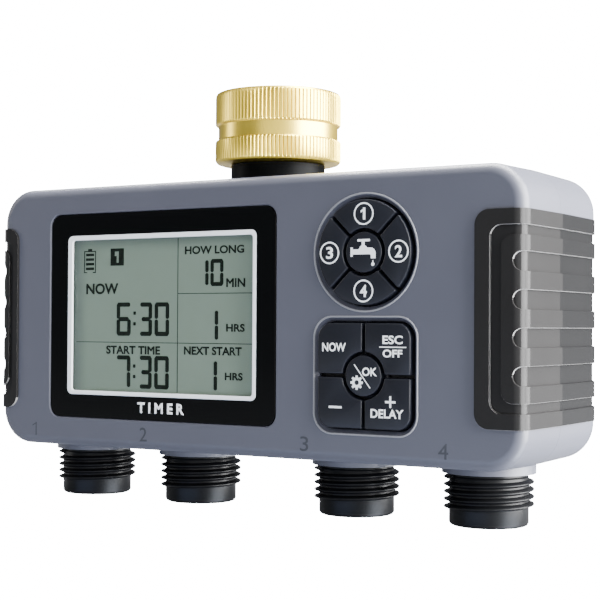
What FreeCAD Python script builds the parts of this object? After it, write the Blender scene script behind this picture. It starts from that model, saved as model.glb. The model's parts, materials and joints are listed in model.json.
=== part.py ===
import FreeCAD, Part
import math
import os
import re
import Sketcher
from FreeCAD import Placement, Rotation, Vector

# Four-outlet drip irrigation timer, in millimetres. +X is to the right of somebody facing the
# display, +Y goes from the display to the back, +Z is up. The origin is under the middle of the
# housing, level with the ends of the outlets.

DIMENSIONS = {
    # housing
    "half_width": 98.7, "body_low": 17.95, "body_high": 106.1, "body_corner": 12.0,
    "front_face": -27.0, "rear_face": 29.3, "parting": -1.5, "draft": 0.8,
    "edge_round": 3.4, "wall": 2.5, "inner_corner": 9.5,
    "boss_radius": 2.9, "rear_boss_radius": 4.1, "screw_radius": 1.25, "pilot_radius": 1.3,
    "screw_clearance": 1.6, "head_radius": 2.9, "counterbore": 3.2, "head_seat": 20.0,
    "head_height": 2.2, "screw_tip": -14.0, "boss_step": 10.0, "boss_top_side": 70.0,
    "boss_top": 99.2, "boss_end_side": 92.2, "boss_end_low": 31.0, "boss_end_high": 62.0,
    "boss_foot_side": 53.0, "boss_foot": 23.2, "seal_depth": 1.0, "seal_outer": 1.4,
    "seal_inner": 2.1, "seat_chamfer": 0.4, "beyond": 130.0,
    # grips
    "grip_proud": 0.8, "grip_sunk": 1.0, "grip_reach": 99.3, "grip_round": 4.2,
    "grip_low": 30.4, "grip_high": 92.4, "grip_corner": 4.5, "grip_edge": 83.3,
    "left_grip_edge": 90.4, "relief": 0.8, "channel_inset": 4.5, "pad_inset": 7.4,
    "channel_step": 4.7, "pad_step": 8.2, "groove_step": 11.7, "groove_height": 5.6,
    "groove_first": 42.6, "groove_pitch": 10.75,
    # display
    "bezel_left": -75.6, "bezel_right": 15.8, "bezel_low": 28.1, "bezel_high": 96.4,
    "bezel_corner": 4.0, "bezel_front": -26.8, "bezel_back": -25.4, "bezel_gap": 0.15,
    "window_left": -68.4, "window_right": 8.6, "window_low": 35.7, "window_high": 89.2,
    "window_corner": 2.0, "view_left": -66.3, "view_right": 7.1, "view_low": 37.1,
    "view_high": 87.6, "view_corner": 1.0, "lens_front": -25.9, "lcd_front": -25.3,
    "lcd_back": -22.5, "lcd_fit": 0.2, "holder_rim": 2.4, "zebra_left": -58.0,
    "zebra_right": -2.0, "zebra_low": 37.4, "zebra_high": 85.0, "zebra_height": 2.2,
    # keypads
    "pad_middle": 47.5, "round_height": 81.1, "square_height": 44.5, "well_radius": 16.2,
    "well_half": 16.15, "well_corner": 4.9, "well_chamfer": 1.3, "key_radius": 15.7,
    "key_half": 15.65, "key_corner": 4.5, "key_front": -28.0, "key_flange_front": -24.4,
    "key_flange_back": -23.4, "flange_radius": 17.2, "flange_half": 16.9, "key_gap": 1.0,
    "middle_key": 6.05, "middle_gap": 7.1, "membrane_radius": 18.3, "membrane_half": 18.2,
    "membrane_rim": 0.8, "membrane_front": -22.35, "membrane_back": -22.05,
    "inner_face": -24.5, "nub_front": -22.0, "switch_front": -21.5, "switch_size": 6.0,
    "nub_radius": 1.6, "switch_offset": 11.2, "square_offset": 9.6, "flange_step": 0.6,
    # board
    "board_left": -80.0, "board_right": 66.0, "board_low": 31.0, "board_high": 94.0,
    "board_front": -19.0, "board_back": -17.4,
    # water path
    "axis_depth": -1.5, "outlet_near": 30.45, "outlet_far": 76.0, "collar_radius": 14.1,
    "collar_low": 15.7, "neck_radius": 11.5, "neck_gap": 0.05, "crest_radius": 13.49,
    "thread_first": 4.3, "thread_pitch": 2.209, "crest_land": 0.7,
    "thread_slope": 0.6, "outlet_end": 11.9, "outlet_chamfer": 0.8, "outlet_bore": 7.5,
    "outlet_flange": 12.8, "flange_low": 20.75, "flange_high": 22.6, "outlet_top": 24.0,
    "cup_low": 25.0, "cup_high": 41.0, "cup_radius": 12.5, "cup_bore": 11.0,
    "cup_floor": 26.5, "seat_radius": 8.7, "tube_height": 33.6, "tube_radius": 7.0,
    "tube_bore": 5.5, "riser_radius": 9.0, "riser_bore": 7.5, "riser_top": 99.5,
    "seal_high": 100.5, "seal_radius": 10.5,
    # valves
    "diaphragm_high": 42.2, "diaphragm_radius": 12.3, "cap_high": 44.2, "cap_floor": 43.2,
    "pilot_hole": 1.0, "core_radius": 4.55, "core_bore": 4.0, "core_top": 72.0,
    "core_roof": 71.0, "coil_low": 45.0, "coil_high": 70.5, "coil_radius": 10.0,
    "winding_radius": 9.2, "coil_bore": 4.7, "coil_flange": 1.2, "plunger_radius": 3.92,
    "plunger_low": 43.25, "plunger_high": 59.0, "spring_radius": 2.6, "spring_wire": 0.35,
    "spring_turns": 6.0,
    # inlet
    "inlet_hole": 15.5, "inlet_neck": 15.4, "inlet_flange": 17.0, "flange_top": 103.3,
    "spigot_radius": 7.4, "spigot_low": 95.0, "inlet_bore": 6.0, "neck_top": 111.6, "swivel_radius": 11.5,
    "swivel_bore": 11.58, "stop_radius": 12.6, "stop_low": 118.4, "stop_high": 120.6,
    "nut_low": 111.9, "nut_lip": 118.2, "nut_high": 135.2, "nut_radius": 20.6,
    "groove_radius": 19.6, "groove_low": 119.6, "groove_high": 124.5, "nut_chamfer": 1.2,
    "nut_root": 13.5, "nut_crest": 12.75, "nut_first": 123.5, "washer_high": 122.6,
    "washer_bore": 8.0, "filter_depth": 6.0, "filter_wall": 0.6,
    # battery compartment
    "tray_half": 32.2, "tray_low": 44.5, "tray_high": 99.0, "tray_front": 11.1,
    "tray_back": 26.7, "tray_wall": 1.5, "battery_radius": 7.2, "battery_depth": 19.3,
    "battery_pitch": 15.0, "battery_low": 46.5, "battery_length": 50.5, "contact": 0.45,
    "cover_half": 36.0, "cover_low": 41.0, "cover_high": 102.0, "cover_corner": 4.0,
    "cover_seat": 28.0, "cover_face": 30.3, "cover_fit": 0.2, "skirt_depth": 27.0,
    "cover_groove": 0.8, "cover_edge": 1.0, "skirt_outer": 0.5, "skirt_inner": 2.0,
    "cord_outer": 1.6, "cord_inner": 3.2, "contact_half": 5.0, "contact_reach": 4.0,
    "notch_radius": 9.0, "notch_depth": 1.0, "ridge_half": 15.0, "ridge_first": 46.0,
    "ridge_pitch": 3.0, "ridge_height": 1.3, "ridge_depth": 0.6,
}

document = FreeCAD.newDocument("irrigation_timer")
sheet = document.addObject("Spreadsheet::Sheet", "Dimensions")
for row, (alias, value) in enumerate(DIMENSIONS.items(), start=1):
    sheet.set("A%d" % row, alias)
    sheet.set("B%d" % row, str(value))
    sheet.setAlias("B%d" % row, alias)
document.recompute()

PIECES = []


def sheet_expression(expression):
    """An expression in which each dimension's name points to its cell of the sheet."""
    def cell(word):
        name = word.group()
        return "Dimensions." + name if name in DIMENSIONS else name
    return re.sub(r"[a-z_]+", cell, str(expression))


def number(expression):
    """The value of an expression in the sheet's dimensions."""
    return float(sheet.evalExpression(sheet_expression(expression)))


def bind(thing, prop, expression):
    """Bind a property to an expression in the sheet's dimensions."""
    thing.setExpression(prop, sheet_expression(expression))


def put(thing, x="0", y="0", z="0"):
    """Bind where a primitive or a body stands."""
    for letter, expression in zip("xyz", (x, y, z)):
        bind(thing, "Placement.Base." + letter, expression)
    return thing


def piece(thing, label):
    """Give a finished sub-part the name of its node."""
    thing.Label = label
    PIECES.append(thing)
    return thing


def scrap_name(kind):
    """A document name for a construction object."""
    scrap_name.count += 1
    return "%s_%d" % (kind, scrap_name.count)


scrap_name.count = 0


# ---- sketches -----------------------------------------------------------------------------

def origin_plane(body, role):
    """One of a body's own origin planes."""
    for feature in body.Origin.OriginFeatures:
        if feature.Role == role:
            return feature
    raise RuntimeError("no plane " + role)


def new_sketch(body, role, offset="0"):
    """A sketch on an origin plane of the body, moved along the plane's normal."""
    sketch = body.newObject("Sketcher::SketchObject", scrap_name("sketch"))
    sketch.AttachmentSupport = [(origin_plane(body, role), "")]
    sketch.MapMode = "FlatFace"
    bind(sketch, "AttachmentOffset.Base.z", offset)
    return sketch


def datum(sketch, kind, references, name, expression):
    """A driving dimension of a sketch, bound to the sheet."""
    index = sketch.addConstraint(Sketcher.Constraint(kind, *references, number(expression)))
    sketch.renameConstraint(index, name)
    bind(sketch, "Constraints." + name, expression)


def draw_rectangle(sketch, tag, left, right, low, high, corner):
    """A rectangle with rounded corners."""
    x1, x2, z1, z2 = (number(value) for value in (left, right, low, high))
    r = number(corner)
    first = sketch.GeometryCount
    ends = [((x1 + r, z1), (x2 - r, z1)), ((x2, z1 + r), (x2, z2 - r)),
            ((x2 - r, z2), (x1 + r, z2)), ((x1, z2 - r), (x1, z1 + r))]
    centres = [(x2 - r, z1 + r), (x2 - r, z2 - r), (x1 + r, z2 - r), (x1 + r, z1 + r)]
    for start, end in ends:
        sketch.addGeometry(Part.LineSegment(Vector(*start, 0), Vector(*end, 0)))
    for turn, centre in enumerate(centres):
        circle = Part.Circle(Vector(*centre, 0), Vector(0, 0, 1), r)
        start = (turn - 1) * math.pi / 2
        sketch.addGeometry(Part.ArcOfCircle(circle, start, start + math.pi / 2))
    for side in range(4):
        line, arc = first + side, first + 4 + side
        sketch.addConstraint(Sketcher.Constraint("Tangent", line, 2, arc, 1))
        sketch.addConstraint(Sketcher.Constraint("Tangent", arc, 2, first + (side + 1) % 4, 1))
        level = "Horizontal" if side % 2 == 0 else "Vertical"
        sketch.addConstraint(Sketcher.Constraint(level, line))
        if side:
            sketch.addConstraint(Sketcher.Constraint("Equal", first + 4, arc))
    datum(sketch, "DistanceX", (-1, 1, first + 3, 1), tag + "_left", left)
    datum(sketch, "DistanceX", (-1, 1, first + 1, 1), tag + "_right", right)
    datum(sketch, "DistanceY", (-1, 1, first, 1), tag + "_low", low)
    datum(sketch, "DistanceY", (-1, 1, first + 2, 1), tag + "_high", high)
    datum(sketch, "Radius", (first + 4,), tag + "_corner", corner)


def draw_circle(sketch, tag, x, z, radius):
    """A circle."""
    index = sketch.GeometryCount
    centre = Vector(number(x), number(z), 0)
    sketch.addGeometry(Part.Circle(centre, Vector(0, 0, 1), number(radius)))
    datum(sketch, "DistanceX", (-1, 1, index, 3), tag + "_x", x)
    datum(sketch, "DistanceY", (-1, 1, index, 3), tag + "_z", z)
    datum(sketch, "Radius", (index,), tag + "_radius", radius)


def draw_polygon(sketch, corners):
    """A closed outline of straight lines; each corner is a pair of expressions."""
    points = [Vector(number(x), number(z), 0) for x, z in corners]
    count = len(points)
    for index in range(count):
        sketch.addGeometry(Part.LineSegment(points[index], points[(index + 1) % count]))
    for index in range(count):
        joint = ("Coincident", index, 2, (index + 1) % count, 1)
        sketch.addConstraint(Sketcher.Constraint(*joint))
    for index, (x, z) in enumerate(corners):
        datum(sketch, "DistanceX", (-1, 1, index, 1), "x%d" % index, x)
        datum(sketch, "DistanceY", (-1, 1, index, 1), "z%d" % index, z)


def draw(sketch, outlines):
    """Draw outlines: ("rectangle", left, right, low, high, corner) or ("circle", x, z, radius)."""
    for index, (kind, *sizes) in enumerate(outlines):
        tool = draw_rectangle if kind == "rectangle" else draw_circle
        tool(sketch, "%s%d" % (kind, index), *sizes)


# ---- solids -------------------------------------------------------------------------------

def new_body(name):
    """An empty PartDesign body."""
    return document.addObject("PartDesign::Body", name)


def plate(outlines, front, back, name="plate", taper="0"):
    """A body padded towards the display from its back plane; inner outlines are its holes."""
    body = new_body(scrap_name(name))
    sketch = new_sketch(body, "XZ_Plane", "-(%s)" % back)
    draw(sketch, outlines)
    pad = body.newObject("PartDesign::Pad", scrap_name("pad"))
    pad.Profile = sketch
    bind(pad, "Length", "%s - (%s)" % (back, front))
    bind(pad, "TaperAngle", taper)
    return body


def turned(corners, x="0", y="axis_depth", name="turned"):
    """A body revolved about the vertical line through x, y from (radius, height) corners."""
    body = new_body(scrap_name(name))
    sketch = new_sketch(body, "XZ_Plane")
    draw_polygon(sketch, corners)
    spin = body.newObject("PartDesign::Revolution", scrap_name("revolution"))
    spin.Profile = sketch
    spin.ReferenceAxis = (sketch, ["V_Axis"])
    spin.Angle = 360
    return put(body, x, y)


def ring_corners(inner, outer, low, high):
    """The section of a plain ring."""
    return [(inner, low), (outer, low), (outer, high), (inner, high)]


def box(left, right, front, back, low, high):
    """A box between six planes."""
    solid = document.addObject("Part::Box", scrap_name("box"))
    bind(solid, "Length", "%s - (%s)" % (right, left))
    bind(solid, "Width", "%s - (%s)" % (back, front))
    bind(solid, "Height", "%s - (%s)" % (high, low))
    return put(solid, left, front, low)


def upright(x, radius, low, high, y="axis_depth"):
    """A vertical cylinder."""
    solid = document.addObject("Part::Cylinder", scrap_name("cylinder"))
    bind(solid, "Radius", radius)
    bind(solid, "Height", "%s - (%s)" % (high, low))
    return put(solid, x, y, low)


def level(x, z, radius, front, back):
    """A cylinder lying along +Y."""
    solid = document.addObject("Part::Cylinder", scrap_name("cylinder"))
    solid.Placement = Placement(Vector(), Rotation(Vector(1, 0, 0), -90))
    bind(solid, "Radius", radius)
    bind(solid, "Height", "%s - (%s)" % (back, front))
    return put(solid, x, front, z)


def across(radius, left, right):
    """A cylinder lying along +X, on the tube's centre line."""
    solid = document.addObject("Part::Cylinder", scrap_name("cylinder"))
    solid.Placement = Placement(Vector(), Rotation(Vector(0, 1, 0), 90))
    bind(solid, "Radius", radius)
    bind(solid, "Height", "%s - (%s)" % (right, left))
    return put(solid, left, "axis_depth", "tube_height")


def fuse(*solids):
    """Several solids as one; solids that stay apart are a group."""
    if len(solids) == 1:
        return solids[0]
    result = document.addObject("Part::MultiFuse", scrap_name("fuse"))
    result.Shapes = list(solids)
    return result


def cut(base, *tools):
    """The base without the tools."""
    result = document.addObject("Part::Cut", scrap_name("cut"))
    result.Base = base
    result.Tool = fuse(*tools)
    return result


def common(*solids):
    """What all the solids share."""
    result = document.addObject("Part::MultiCommon", scrap_name("common"))
    result.Shapes = list(solids)
    return result


def edges_on(shape, depth, wanted=None):
    """Names of the edges that lie in the plane y = depth and that wanted accepts."""
    names = []
    for index, edge in enumerate(shape.Edges, start=1):
        low, high = edge.BoundBox.YMin, edge.BoundBox.YMax
        flat = abs(low - depth) < 0.01 and abs(high - depth) < 0.01
        if flat and (wanted is None or wanted(edge.BoundBox)):
            names.append("Edge%d" % index)
    return names


def dress(body, kind, depth, size, wanted=None):
    """Round (Fillet) or bevel (Chamfer) a body's edges in the plane y = depth."""
    document.recompute()
    base = body.Tip
    feature = body.newObject("PartDesign::" + kind, scrap_name(kind.lower()))
    feature.Base = (base, edges_on(base.Shape, number(depth), wanted))
    bind(feature, "Radius" if kind == "Fillet" else "Size", size)
    return feature


def pocket(body, outlines, plane, depth, towards_front=False, taper="0"):
    """Cut outlines into a body from the plane y = plane, and check that it cut."""
    document.recompute()
    before = body.Shape.Volume
    sketch = new_sketch(body, "XZ_Plane", "-(%s)" % plane)
    draw(sketch, outlines)
    feature = body.newObject("PartDesign::Pocket", scrap_name("pocket"))
    feature.Profile = sketch
    feature.Reversed = towards_front
    bind(feature, "Length", depth)
    bind(feature, "TaperAngle", taper)
    document.recompute()
    if body.Shape.Volume >= before:
        raise RuntimeError("a pocket cut nothing")
    return feature


# ---- housing ------------------------------------------------------------------------------

OUTLETS = {1: "-outlet_far", 2: "-outlet_near", 3: "outlet_near", 4: "outlet_far"}
SCREWS = [(side + x, z) for side in ("-", "") for x, z in
          (("boss_top_side", "boss_top"), ("boss_end_side", "boss_end_low"),
           ("boss_end_side", "boss_end_high"), ("boss_foot_side", "boss_foot"))]
OUTLINE = ("rectangle", "-half_width", "half_width", "body_low", "body_high", "body_corner")
CAVITY = ("rectangle", "-half_width + wall", "half_width - wall",
          "body_low + wall", "body_high - wall", "inner_corner")
BEZEL = ("rectangle", "bezel_left", "bezel_right", "bezel_low", "bezel_high", "bezel_corner")
WINDOW = ("rectangle", "window_left", "window_right", "window_low", "window_high",
          "window_corner")
VIEW = ("rectangle", "view_left", "view_right", "view_low", "view_high", "view_corner")
COVER = ("rectangle", "-cover_half", "cover_half", "cover_low", "cover_high", "cover_corner")


def shrunk(outline, inset):
    """A rounded rectangle moved inwards all round."""
    kind, left, right, low, high, corner = outline
    return (kind, "%s + (%s)" % (left, inset), "%s - (%s)" % (right, inset),
            "%s + (%s)" % (low, inset), "%s - (%s)" % (high, inset), corner)


def battery_opening(inset, corner):
    """The opening over the batteries, moved inwards all round."""
    edges = ("rectangle", "-tray_half + tray_wall", "tray_half - tray_wall",
             "tray_low + tray_wall", "tray_high - tray_wall", corner)
    return shrunk(edges, inset)


def square(half, corner):
    """A rounded square round the middle of the square keypad."""
    return ("rectangle", "pad_middle - (%s)" % half, "pad_middle + (%s)" % half,
            "square_height - (%s)" % half, "square_height + (%s)" % half, corner)


def disc(radius):
    """A circle round the middle of the round keypad."""
    return ("circle", "pad_middle", "round_height", radius)


def grip_band(side, front_edge, skin, depth, low, high, corner, inset="0"):
    """The part of a housing end between two skins, as seen from the front a rounded tab."""
    outer = wrap(side, skin)
    inner = wrap(side, "%s + (%s)" % (skin, depth))
    window = "half_width + 2 * wall + (%s)" % corner
    start = "%s + (%s)" % (front_edge, inset)
    left, right = (start, window) if side > 0 else ("-(%s)" % window, "-(%s)" % start)
    tab = plate([("rectangle", left, right, low, high, corner)], "-beyond", "beyond", "tab")
    return common(cut(outer, inner), tab)


def wrap(side, skin):
    """A bar along Z with rounded vertical edges, a skin's depth inside the grips' surface."""
    reach = "grip_reach - (%s)" % skin
    left, right = ("60", reach) if side > 0 else ("-(%s)" % reach, "-60")
    front = "front_face - grip_proud + (%s)" % skin
    rear = "rear_face + grip_proud - (%s)" % skin
    body = new_body(scrap_name("wrap"))
    sketch = new_sketch(body, "XY_Plane", "grip_low - wall")
    draw_rectangle(sketch, "bar", left, right, front, rear, "grip_round - (%s)" % skin)
    pad = body.newObject("PartDesign::Pad", scrap_name("pad"))
    pad.Profile = sketch
    bind(pad, "Length", "grip_high - grip_low + 2 * wall")
    return body


def grip_blank(side, front_edge):
    """A grip before its relief; the housing is cut by the same shape."""
    depth = "grip_proud + grip_sunk"
    front = grip_band(side, front_edge, "0", depth, "grip_low", "grip_high", "grip_corner")
    if front_edge == "grip_edge":
        return front
    limit = "-(grip_edge)" if side < 0 else "grip_edge"
    edges = ("-beyond", limit) if side < 0 else (limit, "beyond")
    rear = grip_band(side, "grip_edge", "0", depth, "grip_low", "grip_high", "grip_corner")
    behind = common(rear, box(*edges, "axis_depth", "beyond", "0", "beyond"))
    ahead = common(front, box("-beyond", "beyond", "-beyond", "axis_depth", "0", "beyond"))
    return fuse(ahead, behind)


def make_grip(label, side, front_edge, step):
    """A rubber grip: rim, channel, raised pad and four grooves across the pad."""
    bands = []
    for inset, start in (("channel_inset", "channel_step * (%s)" % step),
                         ("pad_inset", "pad_step * (%s)" % step)):
        bands.append(grip_band(side, front_edge, "0", "relief", "grip_low + %s" % inset,
                               "grip_high - %s" % inset, "grip_corner - 1", start))
    tools = [cut(*bands)]
    for index in range(4):
        low = "groove_first + %d * groove_pitch" % index
        tools.append(grip_band(side, front_edge, "0", "relief", low, low + " + groove_height",
                               "groove_height / 2.02", "groove_step * (%s)" % step))
    blank = grip_blank(side, front_edge)
    piece(cut(blank, *tools), label)
    return grip_blank(side, front_edge)


def make_screws():
    """Eight self-tapping screws that go in from the back."""
    solids = []
    for x, z in SCREWS:
        solids.append(level(x, z, "head_radius", "head_seat", "head_seat + head_height"))
        solids.append(level(x, z, "screw_radius", "screw_tip", "head_seat"))
    piece(fuse(*solids), "housing_screws")


def housing_shell(face, taper, towards_front):
    """One half of the housing: a drafted pad with a rounded rim, hollowed from the parting."""
    front, back = (face, "parting") if towards_front else ("parting", face)
    body = new_body(scrap_name("shell"))
    sketch = new_sketch(body, "XZ_Plane", "-(parting)")
    draw(sketch, [OUTLINE])
    pad = body.newObject("PartDesign::Pad", scrap_name("pad"))
    pad.Profile = sketch
    pad.Reversed = not towards_front
    bind(pad, "Length", "%s - (%s)" % (back, front))
    bind(pad, "TaperAngle", taper)
    dress(body, "Fillet", face, "edge_round")
    pocket(body, [CAVITY], "parting", "%s - (%s) - wall" % (back, front), towards_front, taper)
    return body


def collars(half):
    """The half rings under the housing that the outlets come out of."""
    rings = [upright(x, "collar_radius", "collar_low", "body_low + wall") for x in OUTLETS.values()]
    return common(fuse(*rings), half)


def shaft_holes():
    """The holes for the outlets and the inlet neck."""
    holes = [upright(x, "neck_radius + neck_gap", "0", "cup_low") for x in OUTLETS.values()]
    return holes + [upright("0", "inlet_hole", "riser_top", "beyond")]


def inside(left, right, low, high):
    """A test for edges that lie within a box of the front, its sides given as expressions."""
    left, right, low, high = (number(side) for side in (left, right, low, high))
    return lambda bounds: (bounds.XMin > left and bounds.XMax < right
                           and bounds.ZMin > low and bounds.ZMax < high)


def make_front_housing(grips):
    """The front shell with its bezel seat, display window, key wells and screw bosses."""
    body = housing_shell("front_face", "-draft", True)
    seat = [BEZEL[0]] + ["%s %s bezel_gap" % (value, sign) for value, sign in
                         zip(BEZEL[1:5], "-+-+")] + [BEZEL[5]]
    pocket(body, [seat], "front_face", "bezel_back - front_face")
    dress(body, "Chamfer", "front_face", "seat_chamfer",
          inside("bezel_left - wall", "bezel_right + wall", "bezel_low - wall",
                 "bezel_high + wall"))
    keys = ("pad_middle - well_radius - 1", "pad_middle + well_radius + 1")
    pocket(body, [disc("well_radius")], "front_face", "wall + 1")
    dress(body, "Chamfer", "front_face", "well_chamfer",
          inside(*keys, "round_height - well_radius - 1", "round_height + well_radius + 1"))
    pocket(body, [square("well_half", "well_corner")], "front_face", "wall + 1")
    dress(body, "Chamfer", "front_face", "well_chamfer",
          inside(*keys, "square_height - well_half - 1", "square_height + well_half + 1"))
    pocket(body, [WINDOW], "bezel_back", "wall")
    bosses = [level(x, z, "boss_radius", "inner_face", "parting") for x, z in SCREWS]
    pilots = [level(x, z, "pilot_radius", "screw_tip - 1", "1") for x, z in SCREWS]
    half = box("-beyond", "beyond", "-beyond", "parting", "0", "beyond")
    solid = fuse(body, collars(half), *bosses)
    piece(cut(solid, *grips, *pilots, *shaft_holes()), "front_housing")


def make_rear_housing(grips):
    """The back shell with the battery opening and the counterbored screw bosses."""
    body = housing_shell("rear_face", "-draft", False)
    half = box("-beyond", "beyond", "parting", "beyond", "0", "beyond")
    bosses = [level(x, z, "boss_radius", "parting", "boss_step") for x, z in SCREWS]
    bosses += [level(x, z, "rear_boss_radius", "boss_step", "rear_face - wall")
               for x, z in SCREWS]
    tools = [level(x, z, "screw_clearance", "parting - 1", "rear_face + 1") for x, z in SCREWS]
    tools += [level(x, z, "counterbore", "head_seat", "rear_face + 1") for x, z in SCREWS]
    tools.append(plate([battery_opening("0", "window_corner")], "boss_step", "beyond", "opening"))
    tools.append(plate([shrunk(COVER, "-cover_fit")], "cover_seat", "beyond", "seat"))
    tools.append(seal_ring())
    solid = fuse(body, collars(half), *bosses)
    piece(cut(solid, *grips, *tools, *shaft_holes()), "rear_housing")


def seal_ring():
    """The ring of cord that lies in the back shell's rim."""
    rings = [shrunk(OUTLINE, inset)[:5] + ("body_corner - " + inset,)
             for inset in ("seal_outer", "seal_inner")]
    return plate(rings, "parting", "parting + seal_depth", "seal")


def make_housing_seal():
    """The seal between the shells, broken where the necks pass."""
    holes = [upright(x, "neck_radius + 1", "0", "cup_low") for x in OUTLETS.values()]
    holes.append(upright("0", "inlet_hole + 1", "riser_top", "beyond"))
    piece(cut(seal_ring(), *holes), "housing_seal")


def make_housing():
    """Both grips, both shells, the seal and the screws."""
    grips = [make_grip("right_grip", 1, "grip_edge", "1"),
             make_grip("left_grip", -1, "left_grip_edge", "0.47")]
    make_front_housing(grips)
    make_rear_housing(grips)
    make_housing_seal()
    make_screws()


# ---- display and board --------------------------------------------------------------------

def make_display():
    """Bezel, white surround, clear lens, panel, its holder and the two contact strips."""
    piece(plate([BEZEL, WINDOW], "bezel_front", "bezel_back", "bezel"), "display_bezel")
    piece(plate([WINDOW, VIEW], "bezel_front", "lens_front", "surround"), "display_surround")
    panel = shrunk(WINDOW, "lcd_fit")
    piece(plate([panel], "lens_front", "lcd_front", "lens"), "display_lens")
    piece(plate([panel], "lcd_front", "lcd_back", "panel"), "lcd_panel")
    rims = [shrunk(panel, "-holder_rim"), shrunk(panel, "holder_rim / 3")]
    piece(plate(rims, "lcd_back", "board_front", "holder"), "lcd_holder")
    strips = [box("zebra_left", "zebra_right", "lcd_back", "board_front", low,
                  low + " + zebra_height") for low in ("zebra_low", "zebra_high")]
    piece(fuse(*strips), "zebra_strips")


# Each part on the back of the board: left, right, height off the board, low, high.
BOARD_PARTS = {
    "processor": ("-14", "-4", "1.6", "60", "70"), "memory": ("4", "10", "1.4", "74", "79"),
    "battery_plug": ("-64", "-52", "2.6", "78", "90"), "valve_plug": ("50", "60", "2.6", "78", "86"),
    "regulator": ("-20", "-16", "1.2", "76", "84"), "driver": ("14", "18", "1.2", "58", "66"),
}
BUZZER = ("-40", "86", "4", "2.6")


def make_board():
    """The control board and the parts on its back."""
    outline = ("rectangle", "board_left", "board_right", "board_low", "board_high",
               "window_corner")
    piece(plate([outline], "board_front", "board_back", "board"), "control_board")
    parts = [box(left, right, "board_back", "board_back + %s" % tall, low, high)
             for left, right, tall, low, high in BOARD_PARTS.values()]
    x, z, radius, tall = BUZZER
    parts.append(level(x, z, radius, "board_back", "board_back + " + tall))
    piece(fuse(*parts), "board_parts")


# ---- keys ---------------------------------------------------------------------------------

def gap_bars(height, turn):
    """The two crossed bars that part the four outer keys of a keypad."""
    bars = []
    for quarter_turn in (0, 90):
        bar = document.addObject("Part::Box", scrap_name("bar"))
        bind(bar, "Length", "2 * well_half + 20")
        bind(bar, "Width", "10")
        bind(bar, "Height", "key_gap")
        spin = Rotation(Vector(0, 1, 0), turn + quarter_turn)
        bar.Placement = Placement(Vector(), spin)
        half = Vector(number("well_half") + 10, 0, number("key_gap") / 2)
        shift = spin.multVec(-half)
        bars.append(put(bar, "pad_middle + (%.4f)" % shift.x, "-30",
                        "%s + (%.4f)" % (height, shift.z)))
    return bars


def quarter(height, turn):
    """A wedge with its point at a keypad's middle, turned clockwise from the upper right."""
    solid = document.addObject("Part::Box", scrap_name("wedge"))
    bind(solid, "Length", "30")
    bind(solid, "Width", "12")
    bind(solid, "Height", "30")
    solid.Placement = Placement(Vector(), Rotation(Vector(0, 1, 0), turn))
    return put(solid, "pad_middle", "-31", height)


def make_ring_keys(labels, height, face, flange, turn):
    """The four outer keys of one keypad, each a cap with a wider flange behind it."""
    hole = ("circle", "pad_middle", height, "middle_gap")
    for index, label in enumerate(labels):
        cap = plate([face, hole], "key_front", "key_flange_front", "cap")
        skirt = plate([flange, hole], "key_flange_front", "key_flange_back", "skirt")
        whole = common(fuse(cap, skirt), quarter(height, turn + 90 * index))
        piece(cut(whole, *gap_bars(height, turn)), label)


def make_middle_key(label, height):
    """The round key in the middle of a keypad."""
    cap = plate([("circle", "pad_middle", height, "middle_key")], "key_front",
                "key_flange_front", "cap")
    skirt = plate([("circle", "pad_middle", height, "middle_key + flange_step")],
                  "key_flange_front", "key_flange_back", "skirt")
    piece(fuse(cap, skirt), label)


def switch_spots():
    """Where each key presses on its switch."""
    spots = [("pad_middle", "round_height"), ("pad_middle", "square_height")]
    for across_sign, up_sign in ((0, 1), (1, 0), (0, -1), (-1, 0)):
        spots.append(("pad_middle + %d * switch_offset" % across_sign,
                      "round_height + %d * switch_offset" % up_sign))
    for across_sign in (-1, 1):
        for up_sign in (-1, 1):
            spots.append(("pad_middle + %d * square_offset" % across_sign,
                          "square_height + %d * square_offset" % up_sign))
    return spots


def make_keypads():
    """Ten keys, the two membranes behind them and the ten switches on the board."""
    make_ring_keys(["key_zone_1", "key_zone_2", "key_zone_4", "key_zone_3"], "round_height",
                   disc("key_radius"), disc("flange_radius"), -45)
    make_middle_key("key_tap", "round_height")
    make_ring_keys(["key_esc_off", "key_delay", "key_minus", "key_now"], "square_height",
                   square("key_half", "key_corner"), square("flange_half", "key_corner"), 0)
    make_middle_key("key_ok", "square_height")
    for label, outline, inside in (
            ("round_membrane", disc("membrane_radius"), disc("membrane_radius - membrane_rim")),
            ("square_membrane", square("membrane_half", "well_corner"),
             square("membrane_half - membrane_rim", "key_corner"))):
        sheet_part = plate([outline], "membrane_front", "membrane_back", "membrane")
        rim = plate([outline, inside], "inner_face", "membrane_front", "rim")
        piece(fuse(sheet_part, rim), label)
    switches = []
    for x, z in switch_spots():
        switches.append(box("%s - switch_size / 2" % x, "%s + switch_size / 2" % x,
                            "switch_front", "board_front", "%s - switch_size / 2" % z,
                            "%s + switch_size / 2" % z))
        switches.append(level(x, z, "nub_radius", "nub_front", "switch_front"))
    piece(fuse(*switches), "key_switches")


# ---- water path ---------------------------------------------------------------------------

def outlet_corners():
    """The section of an outlet: bore, chamfered end, five thread crests, neck and flange."""
    corners = [("outlet_bore", "0"), ("outlet_end - outlet_chamfer", "0"),
               ("outlet_end", "outlet_chamfer"), ("outlet_end", "thread_first - thread_slope")]
    for turn in range(5):
        base = "thread_first + %d * thread_pitch" % turn
        corners += [("outlet_end", base + " - thread_slope + 0.05"), ("crest_radius", base),
                    ("crest_radius", base + " + crest_land"),
                    ("outlet_end", base + " + crest_land + thread_slope")]
    return corners[:3] + corners[4:] + [
        ("neck_radius", "thread_first + 5 * thread_pitch"), ("neck_radius", "flange_low"),
        ("outlet_flange", "flange_low"), ("outlet_flange", "flange_high"),
        ("seal_radius", "flange_high"), ("seal_radius", "outlet_top"),
        ("outlet_bore", "outlet_top")]


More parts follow.
